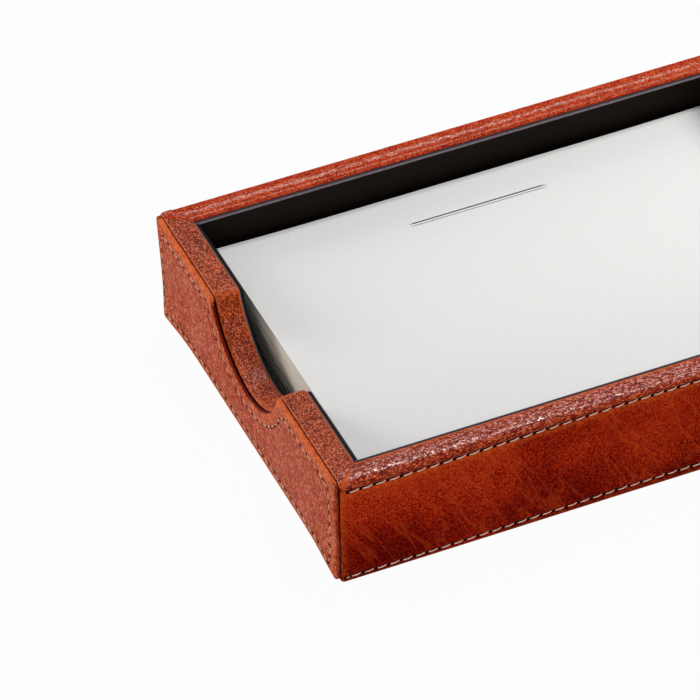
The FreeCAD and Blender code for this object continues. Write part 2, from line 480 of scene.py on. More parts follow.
@dataclass(frozen=True)
class Hide:
    """Dyed, waxed leather: the colours of its dye, its grain and its gloss."""

    name: str
    valley: str                 # dye gathered between the pebbles
    body: str
    ridge: str                  # dye rubbed thin on the pebbles' crowns
    bare: str                   # burnished edges and folds; on the back roll, painted highlight lines
    grain: float                # width of a pebble in mm
    depth: float                # height of a pebble in mm
    contrast: float             # how strongly the grain shows as colour
    mottle: float               # width of a darker or lighter patch in mm
    base: float                 # mean dye, from 0 for the valley's colour to 1 for the ridge's
    cloud: float                # how far the patches lie to either side of it
    roughness: float
    shine: float = 0.2          # strength of the reflections off the leather itself
    wax: float = 0.0            # share of the glossy top coat
    veins: float = 0.0          # strength of the pale diagonal fat lines
    foot_shade: float = 0.0       # painted shade, darker towards the foot
    painted_glint: float = 0.0          # strength of whitish painted glints on some of the pebbles
    painted_glint_share: float = 0.3        # share of the pebbles that carry them
    painted_glint_facing: float = 0.8        # how far up a place must face for them, as the Z of its normal
    stretch: tuple[float, float, float] = (1.0, 1.0, 1.0)

    def paint(self) -> bpy.types.Material:
        """Builds the nodes.

        Returns:
            The leather as a material; where the mesh's value is positive it bares worn edges, and where it is
            negative it paints shade into seams, gaps and creases.
        """
        p = Paint(self.name)
        drift = p.clouds(self.grain * 1.4, 2.0, output="Color")
        drawn = p.scaled(p.scaled(drift, (self.grain * 0.6 * MM,) * 3, p.place), self.stretch)
        cells = {"Vector": drawn, "Scale": per_metre(self.grain)}
        edge = p.add("ShaderNodeTexVoronoi", cells, feature="DISTANCE_TO_EDGE").outputs["Distance"]
        pebble = p.ramp(edge, end=0.26, interpolation_type="SMOOTHSTEP")
        each = p.add("ShaderNodeTexVoronoi", cells).outputs["Color"]
        # pores and creases less than half as wide as a pebble
        fine = p.clouds(self.grain * 0.4, 3.0)
        patch = p.clouds(self.mottle, 3.0, roughness=0.55)
        level = p.ramp(patch, 0.34, 0.66, self.base - self.cloud, self.base + self.cloud)
        if self.foot_shade > 0:
            # painted shade: darker towards the foot
            shade = p.ramp(p.part(p.place, "Z"), 0.003, 0.021, -self.foot_shade, 0.06)
            level = p.math("ADD", level, shade, clamp=True)
        # every pebble takes the dye differently, and the gaps between them hold more of it
        taken = p.ramp(each, 0.25, 0.75, -self.contrast, self.contrast)
        specks = p.ramp(fine, 0.35, 0.65, -self.contrast, self.contrast)
        gaps = p.math("MULTIPLY_ADD", pebble, self.contrast, -0.8 * self.contrast)
        for part, weight in ((taken, 0.4), (specks, 0.5), (gaps, 0.6)):
            level = p.math("MULTIPLY_ADD", part, weight, level)
        colour = p.mix(p.ramp(level, end=0.5), self.valley, self.body)
        colour = p.mix(p.ramp(level, 0.5), colour, self.ridge)
        if self.veins > 0:
            # fat lines run steeply down to the right, six times as long as they are apart
            turned = p.add("ShaderNodeMapping", {"Vector": p.place, "Rotation": (0.0, math.radians(61), 0.0),
                                                 "Scale": (6.0, 1.0, 1.0)}, vector_type="TEXTURE").outputs[0]
            off = p.math("ABSOLUTE", p.math("SUBTRACT", p.clouds(9.0, 5.0, turned, 0.6), 0.5))
            vein = p.math("MULTIPLY", p.ramp(off, 0.0, 0.022, self.veins, 0.0), fine)
            colour = p.mix(vein, colour, self.ridge)
        # painted highlight: whitish lilac specks (#dccfd0) on some pebble crowns stand in for glints of light
        if self.painted_glint > 0:
            first = 0.75 - 0.5 * self.painted_glint_share
            glint_mask = p.ramp(each, first, first + 0.12, 0.15 * self.painted_glint, self.painted_glint)
            # painted glints show only where the surface faces up
            up = p.part(p.add("ShaderNodeNewGeometry").outputs["Normal"], "Z")
            glint_mask = p.math("MULTIPLY", p.math("MULTIPLY", glint_mask, pebble), p.ramp(up, self.painted_glint_facing, 0.97))
            colour = p.mix(glint_mask, colour, "#dccfd0")
        # pebble by pebble, some are rubbed bare and some keep their dye
        worn = p.math("MULTIPLY", p.wear_and_shade, p.ramp(each, 0.35, 0.65, 0.55, 1.35), clamp=True)
        colour = p.mix(worn, colour, self.bare)
        # painted shade: where the mesh's value is negative, in seams, gaps and creases, the colour deepens to
        # dark red and then to nearly black
        colour = p.mix(p.math("MULTIPLY", p.wear_and_shade, -2.0, clamp=True), colour, "#721505")
        colour = p.mix(p.math("MULTIPLY_ADD", p.wear_and_shade, -2.0, -1.0, clamp=True), colour, "#0d0504")
        grain = p.math("MULTIPLY", pebble, p.math("SUBTRACT", 1.0, worn))
        raised = p.math("MULTIPLY_ADD", fine, 0.35, grain)
        gloss = p.ramp(patch, 0.3, 0.7, self.roughness + 0.06, self.roughness - 0.06)
        if self.wax > 0:
            # wax lies on the pebbles, levels their slopes, and is thin where the leather is worn
            left = p.ramp(worn, low=self.wax, high=0.3 * self.wax)
            cover = p.math("MULTIPLY", pebble, p.ramp(each, 0.3, 0.7, 0.25))
            cover = p.math("MULTIPLY", cover, left)
            p.finish(Coat_Weight=cover, Coat_Normal=p.bump(raised, 0.25 * self.depth))
        return p.finish(Base_Color=colour, Roughness=gloss, Normal=p.bump(raised, self.depth), IOR=1.5,
                        Specular_IOR_Level=self.shine, Coat_Roughness=0.14)


@dataclass(frozen=True)
class Finish:
    """A plainer finish: two colours in patches, a fine bump and one gloss."""

    name: str
    colour: str
    second: str                 # the other colour, in patches and on bared edges
    patch: float                # width of a patch in mm
    depth: float                # height of the surface texture in mm
    roughness: float
    ior: float = 1.5
    shine: float = 0.3
    squeeze: tuple[float, float, float] = (1.0, 1.0, 1.0)

    def paint(self) -> bpy.types.Material:
        """Builds the nodes.

        Returns:
            The material.
        """
        p = Paint(self.name)
        patch = p.clouds(self.patch, 4.0, p.scaled(p.place, self.squeeze), 0.6)
        share = p.math("MAXIMUM", p.ramp(patch, 0.35, 0.7), p.wear_and_shade)
        colour = p.mix(share, self.colour, self.second)
        return p.finish(Base_Color=colour, Normal=p.bump(patch, self.depth), Roughness=self.roughness,
                        IOR=self.ior, Specular_IOR_Level=self.shine)


@dataclass(frozen=True)
class EdgedBoard:
    """Black coated board whose cut edge is painted grey as highlight, with a brighter painted highlight line
    along it.
    """

    name: str
    face: str
    sheen: str                  # faint brown painted sheen, in large patches on the faces
    edge: str                   # the cut edge; its grey on the flank and floor boards is painted highlight
    line: str                   # the painted highlight line along the edge
    across: str                 # the axis through the board
    lightened: tuple[float, float]     # where along that axis the highlight line is painted, in mm from the middle
    roughness: float = 0.5

    def paint(self) -> bpy.types.Material:
        """Builds the nodes.

        Returns:
            The material.
        """
        p = Paint(self.name)
        # rolled paper coating: fibres about 0.5 mm across
        fibre = p.clouds(0.5, 2.0)
        # painted reflection: large patches of brown sheen on the black faces
        colour = p.mix(p.clouds(22.0, 3.0), self.face, self.sheen)
        facing = p.part(p.add("ShaderNodeNewGeometry").outputs["True Normal"], self.across)
        cut = p.math("LESS_THAN", p.math("ABSOLUTE", facing), 0.85)
        colour = p.mix(cut, colour, self.edge)
        # painted highlight: a grey line along the cut edge, broken up by the fibres
        depth = p.math("ABSOLUTE", p.part(p.place, self.across))
        low, high = self.lightened
        line = p.math("COMPARE", depth, 0.5 * (low + high) * MM, 0.5 * (high - low) * MM)
        painted_highlight = p.math("MULTIPLY", p.math("MULTIPLY", cut, line), p.ramp(fibre, 0.3, 0.7, 0.5))
        colour = p.mix(painted_highlight, colour, self.line)
        return p.finish(Base_Color=colour, Normal=p.bump(fibre, 0.02), Roughness=self.roughness,
                        Specular_IOR_Level=0.06)


# Calf side leather, aniline dyed and hand burnished: smooth and cloudy, with painted shade that darkens it
# towards the foot.
WALL_HIDE = Hide("burnished_calf_hide", "#500000", "#a82006", "#cc481a", "#cc5c22", grain=0.4, depth=0.03,
                 contrast=0.62, mottle=20.0, base=0.5, cloud=0.18, roughness=0.5, shine=0.02, veins=0.7,
                 foot_shade=0.32)
# The same hide drawn over the padding: its grain opens into wrinkles, its wax coat shines, and painted glints
# lie on the crowns that face up.
ROLL_HIDE = Hide("wrinkled_calf_hide", "#5c0800", "#b63a0a", "#da6028", "#cc581c", grain=0.44, depth=0.03,
                 contrast=0.95, mottle=7.0, base=0.52, cloud=0.08, roughness=0.4, shine=0.02, wax=0.9,
                 painted_glint=0.46, painted_glint_share=0.6, stretch=(0.5, 1.0, 1.0))
# The back roll's hide: the roll's calf painted brighter as painted light, with fine dark pores; its whitish
# bare colour paints highlight lines on the crest.
PAINTED_LIT_HIDE = Hide("painted_lit_calf_hide", "#7c1002", "#c4380e", "#e6662a", "#f2cdb8", grain=0.38, depth=0.02,
                   contrast=0.85, mottle=8.0, base=0.52, cloud=0.08, roughness=0.4, shine=0.02, wax=0.6)
ROLLED = {Flank.FRONT: ROLL_HIDE, Flank.BACK: PAINTED_LIT_HIDE}
# The hide stretched over the ends: dark dye in the gaps, and whitish painted glints on single pebbles that
# face up.
SLEEVE_HIDE = Hide("pebbled_calf_hide", "#480802", "#c04412", "#e07030", "#cc5620", grain=0.4, depth=0.04,
                   contrast=0.95, mottle=8.0, base=0.5, cloud=0.12, roughness=0.4, shine=0.04, wax=0.45,
                   painted_glint=0.24, painted_glint_share=0.26, painted_glint_facing=0.5)
# Goat leather of the end panels: even terracotta pebbles and a plain pressed border.
PANEL_HIDE = Hide("pebbled_goat_hide", "#8e2812", "#d05630", "#e88e66", "#e06c38", grain=0.76, depth=0.16,
                  contrast=0.8, mottle=14.0, base=0.5, cloud=0.08, roughness=0.5, shine=0.05,
                  stretch=(1.0, 1.15, 0.82))
# Waxed linen sewing thread, dull and slightly dirty from the dye.
WALL_THREAD = Finish("waxed_linen_thread_pale", "#f6dccb", "#d8ac94", patch=0.6, depth=0.05, roughness=0.6,
                     squeeze=(1.0, 1.0, 2.0))
PANEL_THREAD = Finish("waxed_linen_thread_tan", "#ecd0b0", "#c09468", patch=0.6, depth=0.05, roughness=0.65)
# Painted shade: the dark inside of an awl hole, and the shadow above its thread.
AWL_HOLE_SHADE = Finish("painted_awl_hole_shade", "#060202", "#140604", patch=0.4, depth=0.02, roughness=0.9, shine=0.05)
# Uncoated wood-free writing paper, faintly warm, with soft fibre clouds.
NOTE_PAPER = Finish("wood_free_writing_paper", "#edecea", "#f1f0ee", patch=1.2, depth=0.001, roughness=0.62,
                    ior=1.45)
# Guillotined paper edges: cream, with the cut's fine level lines.
CUT_PAPER = Finish("guillotined_paper_edge", "#f0eadb", "#fffdf6", patch=0.5, depth=0.03, roughness=0.75,
                   squeeze=(0.02, 0.02, 1.0))
# Offset ink sunk into the paper: soft, dark grey and without gloss.
PRINT_INK = Finish("offset_printing_ink", "#2b2a2c", "#3a393b", patch=0.3, depth=0.002, roughness=0.55)
# Needle-punched wool felt, dyed dark brown and hot pressed flat.
BASE_FELT = Finish("pressed_wool_felt", "#2c1a12", "#43291d", patch=0.7, depth=0.25, roughness=0.95)
# Rolled grey board made of waste paper: flecked and dull.
GREYBOARD = Finish("rolled_greyboard", "#8d8a84", "#a5a19a", patch=0.9, depth=0.03, roughness=0.9)
# Black paper-faced board, rolled and varnished matt; cut edges carry painted highlight in grey.
END_BOARD = EdgedBoard("black_coated_board_ends", "#040303", "#0c0806", "#050404", "#77717a",
                       "X", (78.55, 78.95))
FLANK_BOARD = EdgedBoard("black_coated_board_flanks", "#060403", "#1c1410", "#38323a", "#7e7278",
                         "Y", (55.0, 55.6))
FLOOR_BOARD = EdgedBoard("black_coated_board_floor", "#050403", "#100b08", "#2c2628", "#6e6368",
                         "Z", (5.0, 5.2))


# ---- stitching ----

@dataclass
class StitchRow:
    """A row of saddle stitches: slanting threads that dive into awl holes."""

    holes: Array                # where the needle went in, in mm
    outward: Array              # unit vector out of the leather at each hole
    across: Array               # unit vector in the leather, at right angles to the row
    thickness: float = 0.4
    slant: float = 0.2          # how far a thread's ends lie to either side of the row
    proud: float = 0.16         # height of the thread's back over the leather
    sag: float = 0.14           # how far a thread hangs off the straight way between its holes
    shown: tuple[float, float] = (0.13, 0.95)   # the share of a stitch where its thread shows
    mouth: tuple[float, float] = (0.58, 0.54)   # half length and half height of a hole
    shadow_tail: float = 2.4           # how far the painted shadow runs on from a hole above its thread
    dive: float = 0.3           # how deep a thread's ends go into the leather
    film: float = 0.07          # height of a mouth's rim over the leather

    def thread(self, skin: Skin, sides: int = 7, rings: int = 7) -> None:
        """Adds one bowed, tapered thread between each pair of holes.

        Args:
            skin: Where the faces go.
            sides: Corners round the thread.
            rings: Rings along one stitch.
        """
        share = np.linspace(*self.shown, rings)[:, None]
        turn = np.linspace(0, 2 * math.pi, sides, endpoint=False)
        for i in range(len(self.holes) - 1):
            start = self.holes[i] - self.across[i] * self.slant
            end = self.holes[i + 1] + self.across[i + 1] * self.slant
            up = self.outward[i] + self.outward[i + 1]
            up /= np.linalg.norm(up)
            side = np.cross(end - start, up)
            side /= np.linalg.norm(side)
            bow = np.sin(np.pi * share) ** 0.6
            rise = bow * (self.proud + self.dive) - self.dive - 0.2 * self.thickness
            spine = start + (end - start) * share + up * rise
            spine = spine - self.across[i] * self.sag * np.sin(np.pi * share)
            radius = 0.5 * self.thickness * (0.65 + 0.35 * bow)
            ring = np.cos(turn)[None, :, None] * side + 0.85 * np.sin(turn)[None, :, None] * up
            points = (spine[:, None, :] + radius[:, :, None] * ring).reshape(-1, 3)
            skin.add(points, tube_faces(rings, sides))

    def hole_shades(self, skin: Skin) -> None:
        """Adds painted shade at each awl hole: a dark disc over the hole, with a tail of painted shadow that
        runs on above the thread.

        Args:
            skin: Where the faces go.
        """
        long, high = self.mouth
        line = high * np.array([0.2, 0.5, 0.85, 1.05, 1.15])
        turn = np.radians(np.arange(60, 301, 30))
        oval = np.column_stack([long * np.cos(turn), high * np.sin(turn)])
        tail = np.column_stack([[long, self.shadow_tail, self.shadow_tail + 0.3, self.shadow_tail - 0.2, long], line])
        shape = np.vstack([oval, tail])
        corners = len(shape)
        for hole, out, across in zip(self.holes, self.outward, self.across):
            along = np.cross(across, out) * (1 if np.cross(across, out) @ self.heading(hole) > 0 else -1)
            rim = hole + shape[:, :1] * along + shape[:, 1:] * across
            points = np.vstack([rim + out * self.film, hole + out * (self.film - 0.02)])
            skin.add(points, [(k, (k + 1) % corners, corners) for k in range(corners)])

    def heading(self, hole: Array) -> Array:
        """Rough way that the row runs at a hole."""
        i = int(np.argmin(np.linalg.norm(self.holes[:-1] - hole, axis=1)))
        return self.holes[i + 1] - self.holes[i]


# ---- long walls ----

@dataclass
class LongWall:
    """Leather of the front or back wall: burnished face, padded roll and two sewn rows."""

    flank: Flank
    tray: TraySizes = TraySizes()
    column: float = 0.45
    lower_row: float = 2.05
    first_low: float = 84.4     # first full stitch of the lower row, from the middle
    first_high: float = 84.0    # and of the upper row
    pitch_low: float = 3.7
    start_low: float = 85.6     # where the lower row's short first stitch comes out
    heel: float = 0.85          # how far each end spreads towards the foot
    groove: float = 0.16        # depth that the lower row sinks into the face
    pinch: float = 0.16         # further depth at each of its holes
    sewn_half: float = 0.42     # half width of that groove
    hole_half: float = 0.6      # half width of the pinch
    crease_depth: float = 0.3   # depth of the crease that the upper row lies in
    wave: float = 0.1           # height of the face's slow lumps
    overlap: float = 1.2        # how far the face goes on round each corner
    row_bow: float = 1.0        # how far both rows, and the crease, rise towards the middle
    bow_middle: float = 8.0
    bow_half: float = 76.0

    def bowed(self, x: Array) -> Array:
        """How far the rows and the crease have risen at a place along the wall."""
        share = np.clip((x - self.bow_middle) / self.bow_half, -1, 1)
        return self.row_bow * np.cos(0.5 * math.pi * share) ** 2

    def placed(self, x: Array, inward: Array, z: Array) -> Array:
        """Points from the place along the wall, the depth behind its face and the height."""
        return joined(x, self.flank.value * (self.tray.half_width - inward), z)

    def awl_places(self, first: float, pitch: float) -> Array:
        """Places of a row's needle holes along the wall, from its first full stitch."""
        return np.arange(-first, self.tray.body_half_length - 2.0, pitch)

    def near_hole(self, x: Array, width: float, first: float, pitch: float) -> Array:
        """How near each place along the wall is to one of a row's needle holes, from 0 to 1."""
        steps = np.clip(np.round((x + first) / pitch), 0, len(self.awl_places(first, pitch)) - 1)
        return bell(x + first - steps * pitch, width)

    def face(self, skin: Skin) -> None:
        """Adds the upright face, with its rounded foot and its turns round the corners.

        Args:
            skin: Where the faces go.
        """
        t = self.tray
        left, turn = -t.body_half_length, t.corner_radius
        corner = arc((left + turn, turn), turn, 180, 270, 7)
        straight = run((left + turn, 0), (-left - turn, 0), self.column)
        half = np.vstack([[(left, turn + self.overlap)], corner])
        plan = chain(half, straight, half[::-1] * [-1, 1])
        out = -side_vectors(plan)
        crease = t.crease
        # rows of points lie close where the leather is sewn, and far apart between
        low_sewn, high_sewn = 4.6, crease - 3.0
        heights = np.concatenate([
            np.arange(t.foot + t.foot_radius, low_sewn, 0.28), np.arange(low_sewn, high_sewn, 1.3),
            np.arange(high_sewn, crease + 0.3, 0.25)])
        foot = arc((t.foot_radius, t.foot + t.foot_radius), t.foot_radius, 270, 182, 6)
        depth = np.concatenate([foot[:, 0], np.zeros(len(heights))])
        z = np.concatenate([foot[:, 1], heights])[:, None]
        x = plan[None, :, 0]
        sewn = bell(z - self.lower_row, self.sewn_half)
        low = self.near_hole(x, self.hole_half, self.first_low, self.pitch_low)
        high = self.near_hole(x, self.hole_half, self.first_high, t.stitch_pitch)
        sunk = self.groove * sewn + self.pinch * sewn * low
        sunk = sunk + self.crease_depth * bell(z - crease - 0.2, 0.34) * (1 + 0.3 * high)
        sunk = sunk + 0.05 * bell(z - crease + 1.3, 0.3) * (1 + np.sin(x * 2.1) * 0.5)
        lumps = ripple(joined(x, 0 * x, z), 14.0) * self.wave
        sunk = (sunk - lumps) * unit((z - t.foot) / 1.5) + depth[:, None]
        inward = plan[None, :, 1] - out[None, :, 1] * sunk
        wear_and_shade = 0.45 * bell(z - t.foot, 0.6) + 0.35 * bell(np.abs(x) - t.body_half_length, 1.0)
        wear_and_shade = unit(wear_and_shade + 0.4 * bell(z - crease + 1.5, 0.9))
        # painted shadow: the turns round the corners are painted black, as the shade in the groove beside the
        # end panel
        wear_and_shade = np.where(np.abs(x) > t.body_half_length - 0.12, -1.0, wear_and_shade)
        risen = self.bowed(x) * unit((z - t.foot) / (self.lower_row - t.foot))
        spread = self.heel * bell(np.abs(x) - t.body_half_length, 2.5) * unit(1 - z / crease) * np.sign(x)
        points = self.placed(x + spread - out[None, :, 0] * sunk, inward, z + risen)
        skin.grid(points, (0, self.flank.value, 0), wear_and_shade)

    def underside(self, skin: Skin) -> None:
        """Adds the strip that is turned under the wall, mitred at both ends.

        Args:
            skin: Where the faces go.
        """
        t = self.tray
        inward = np.linspace(t.foot_radius, t.turn_under, 9)[:, None]
        share = np.linspace(-1, 1, 120)[None, :]
        skin.grid(self.placed(share * (t.body_half_length - inward), inward, t.foot), (0, 0, -1))

    def roll(self, skin: Skin) -> None:
        """Adds the padded roll, its flat top and its inner shoulder, between the corner folds.

        Args:
            skin: Where the faces go.
        """
        t = self.tray
        foot_angle = math.degrees(math.atan2(t.crease - t.roll_height, -t.roll_inset)) % 360
        section = chain(
            np.array([(0.5, t.crease + 0.22), (0.2, t.crease + 0.2)]),
            arc((t.roll_inset, t.roll_height), t.roll_radius, foot_angle - 13, 90, 16),
            run((t.roll_inset, t.rim_height), (t.wall - t.inner_radius, t.rim_height), 0.3),
            arc((t.wall - t.inner_radius, t.rim_height - t.inner_radius), t.inner_radius, 90, 0, 8),
            run((t.wall, t.rim_height - t.inner_radius), (t.wall, t.rim_height - 3.2), 0.6))
        out = side_vectors(section)
        along = line_lengths(section)[:, None]
        u, z = section[:, :1], section[:, 1:]
        narrowing = np.clip(u, 0, t.wall) * (t.wall - t.gusset_width) / t.wall
        half = t.body_half_length - t.gusset_width - narrowing
        count = int(2 * t.body_half_length / self.column)
        x = half * np.linspace(-1, 1, count)[None, :]
        pulled = 0.16 * bell(along - 0.6, 0.9) * self.near_hole(x, 0.8, self.first_high, t.stitch_pitch)
        # a wrinkle wanders along the roll over its seam, now deeper and now shallower
        wrinkle = bell(along - 1.5 - 0.15 * np.sin(x * 0.11), 0.24) * unit(0.8 + 0.4 * np.sin(x * 0.9))
        flat = joined(x, u, z)
        folds = ripple(flat * [0.55, 1.0, 1.0], 1.5, 7.0)
        lumps = ripple(flat, 6.0, 3.0)
        height = 0.07 * folds + 0.06 * lumps - pulled - 0.2 * wrinkle
        height = height * np.clip((t.wall - u) / 1.2, 0.1, 1)
        if self.flank is Flank.BACK:
            # two fine ridges where the hide is drawn over the padding's edge; the whitish bare colour along
            # them is painted highlight
            uneven = np.clip(1 + 1.2 * ripple(flat, 1.1, 11.0), 0.2, 2)
            crest = uneven * bell(u - 3.8 - 0.15 * np.sin(x * 0.13) - 0.12 * np.sin(x * 0.9), 0.4)
            brow = uneven * bell(u - t.wall + 1.1, 0.25) * (z > t.rim_height - 0.5)
            height = height + 0.13 * crest + 0.05 * brow
            edge = 0.32 * crest + 0.16 * brow
        else:
            edge = 0.8 * bell(u - t.wall + 0.7, 0.8) * (z > t.rim_height - 1.3) + 0.3 * bell(along - 1.0, 0.5)
        height = height + t.crown(u, self.flank) * unit((z - t.crease) / 1.2)
        # painted shade: darker on the inner side above the lining, nearly black in the crease at the roll's
        # foot, and darker in the wrinkle and in a band beside it
        edge = edge - 0.6 * bell(z - t.rim_height + 1.0, 0.3) * (u > t.wall - 1.0)
        edge = edge - 0.9 * bell(along - 0.1, 0.3) - 0.3 * wrinkle - 0.4 * bell(along - 1.35, 0.45)
        up = z + out[:, 1:] * height
        # the roll is pinched flatter where the crease rises
        down = unit((t.rim_height - up) / (t.rim_height - t.crease))
        up = up + self.bowed(x) * down * (u < t.wall / 2)
        skin.grid(self.placed(x, u - out[:, :1] * height, up), (0, 0.2 * self.flank.value, 1), edge)

    def rows(self) -> list[StitchRow]:
        """Lays out the two sewn rows.

        Returns:
            The upper row in the crease and the lower row over the foot.
        """
        rows = []
        high = self.awl_places(self.first_high, self.tray.stitch_pitch)
        low = np.append(-self.start_low, self.awl_places(self.first_low, self.pitch_low))
        for x, inward, height in ((high, 0.02, self.tray.crease - 0.42), (low, self.groove, self.lower_row)):
            ones = np.ones((len(x), 1))
            holes = self.placed(x, inward, height + self.bowed(x))
            rows.append(StitchRow(holes, ones * [0.0, self.flank.value, 0.0], ones * [0.0, 0.0, 1.0]))
        return rows

    def build(self) -> None:
        """Makes the face, the roll and the sewing as pieces that ride on the tray."""
        side = self.flank.name.lower()
        face, roll = Skin(side + "_wall_hide"), Skin(side + "_padded_roll")
        self.face(face)
        self.underside(face)
        self.roll(roll)
        face.build(WALL_HIDE, "tray", "wall_leather", side + "_leather")
        roll.build(ROLLED[self.flank], "tray", "wall_leather")
        sew(side + "_wall", self.rows(), WALL_THREAD, "wall_leather")


def sew(name: str, rows: list[StitchRow], finish: Finish, slot: str) -> None:
    """Makes one piece of all the threads and one of the painted shade of all the awl holes of some rows.

    Args:
        name: Start of the pieces' names.
        rows: The rows of stitches.
        finish: The thread's finish.
        slot: The record's slot of the leather that is sewn.
    """
    threads, hole_shades = Skin(name + "_thread"), Skin(name + "_awl_holes")
    for row in rows:
        row.thread(threads)
        row.hole_shades(hole_shades)
    threads.build(finish, "tray", slot)
    hole_shades.build(AWL_HOLE_SHADE, "tray", slot)


# ---- notched ends ----

def rim_line(tray: TraySizes, half_span: float, step: float) -> tuple[Array, Array]:
    """Top line of an end wall, down through the thumb notch and up again.

    Args:
        tray: Shared sizes.
        half_span: Half of the line's length along Y.
        step: Rough distance between points.

    Returns:
        Points as (y, z), and unit vectors that point out of the wall there.
    """
    shoulder_z = tray.rim_height - tray.shoulder_radius
    reach_out = tray.notch_radius + tray.shoulder_radius
    rise = tray.notch_centre - shoulder_z
    shoulder_y = math.sqrt(reach_out**2 - rise**2)
    lean = math.degrees(math.atan2(rise, shoulder_y))
    bend = arc((-shoulder_y, shoulder_z), tray.shoulder_radius, 90, lean, 9)
    count = int(math.radians(180 - 2 * lean) * tray.notch_radius / step) + 1
    dip = arc((0, tray.notch_centre), tray.notch_radius, 180 + lean, 360 - lean, count)
    flat = run((-half_span, tray.rim_height), (-shoulder_y, tray.rim_height), step)
    front = chain(flat, bend)
    points = chain(front, dip, front[::-1] * [-1, 1])
    return points, side_vectors(points)


@dataclass
class NotchedEnd:
    """Leather sleeve of one end wall: pebbled rim, thumb notch and the sheet behind the panel."""

    end: End
    tray: TraySizes = TraySizes()
    column: float = 0.42
    tuck: float = 2.3           # how far the sleeve runs down on both sides of the wall
    brow: float = 23.4          # where the notch's shoulders are rubbed, from the middle
    sheet_rows: int = 12

    def placed(self, depth: Array, y: Array, z: Array) -> Array:
        """Points from the depth behind the end's face, the place along it and the height."""
        return joined(self.end.value * (self.tray.body_half_length - depth), y, z)

    def sleeve(self, skin: Skin) -> None:
        """Adds the sleeve that is drawn over the rim and down through the notch.

        Args:
            skin: Where the faces go.
        """
        t = self.tray
        radius = t.end_radius
        line, out = rim_line(t, t.half_width - t.wall, self.column)
        section = chain(
            run((0, -self.tuck), (0, -radius), 0.4),
            arc((radius, -radius), radius, 180, 90, 8),
            run((radius, 0), (t.wall - radius, 0), 0.33),
            arc((t.wall - radius, -radius), radius, 90, 0, 8),
            run((t.wall, -radius), (t.wall, -self.tuck), 0.4))
        tilt = side_vectors(section)
        depth, drop = section[:, :1], section[:, 1:]
        flat = np.abs(line[:, 1] - t.rim_height) < 1e-6
        crown = np.abs(line[flat, 0]).min()
        share = np.where(flat, (np.abs(line[:, 0]) - crown) / (t.half_width - t.wall - crown), 0)
        widen = (1 - np.clip(depth, 0, t.wall) / t.wall) * (t.wall - t.gusset_width)
        y = line[None, :, 0] + np.sign(line[None, :, 0]) * share * widen
        z = line[None, :, 1] + 0 * depth
        flat_places = joined(depth, y, z)
        lumps, folds = ripple(flat_places, 7.0, 11.0), ripple(flat_places, 1.3, 5.0)
        height = (0.1 * lumps + 0.035 * folds) * bell(drop, 1.2)
        lift = drop + tilt[:, 1:] * height
        # both edges of the rim are rubbed bare, and the outer one is painted black lower down, as the shadow
        # in the gap behind the panel
        worn = 0.7 * bell(depth - 0.25, 0.25) + 0.85 * bell(depth - t.wall + 0.3, 0.32)
        worn = unit(worn + 0.5 * bell(np.abs(y) - self.brow, 0.9))
        worn = worn - 2.5 * unit((-drop - 0.5) / 0.15) * (depth < 0.5)
        y, z = y + out[None, :, 0] * lift, z + out[None, :, 1] * lift
        skin.grid(self.placed(depth + tilt[:, :1] * height, y, z), (self.end.value * 0.1, 0, 1), worn)

    def outer_sheet(self, skin: Skin) -> None:
        """Adds the leather behind the panel, its rounded foot and the strip turned under the wall.

        Args:
            skin: Where the faces go.
        """
        t = self.tray
        line, out = rim_line(t, t.half_width - 1.4, 1.0)
        top = line - out * (self.tuck - 0.3)
        foot = arc((t.foot_radius, t.foot + t.foot_radius), t.foot_radius, 270, 182, 6)
        share = np.linspace(0, 1, self.sheet_rows)[:, None]
        low = t.foot + t.foot_radius
        z = np.vstack([foot[:, 1:] + 0 * top[None, :, 1], low + (top[None, :, 1] - low) * share])
        depth = np.concatenate([foot[:, 0], np.zeros(self.sheet_rows)])[:, None] + 0.03
        points = self.placed(depth, top[None, :, 0], z)
        skin.grid(points, (self.end.value, 0, 0), 0.5 * bell(z - t.foot, 1.5))
        inward = np.linspace(t.foot_radius, t.turn_under, 9)[:, None]
        across = np.linspace(-1, 1, 90)[None, :]
        skin.grid(self.placed(inward, across * (t.half_width - inward), t.foot), (0, 0, -1))

    def build(self) -> None:
        """Makes the sleeve and the outer sheet as one piece that rides on the tray."""
        side = self.end.name.lower()
        skin = Skin(side + "_notched_sleeve")
        self.sleeve(skin)
        self.outer_sheet(skin)
        skin.build(SLEEVE_HIDE, "tray", "wall_leather", side + "_leather")


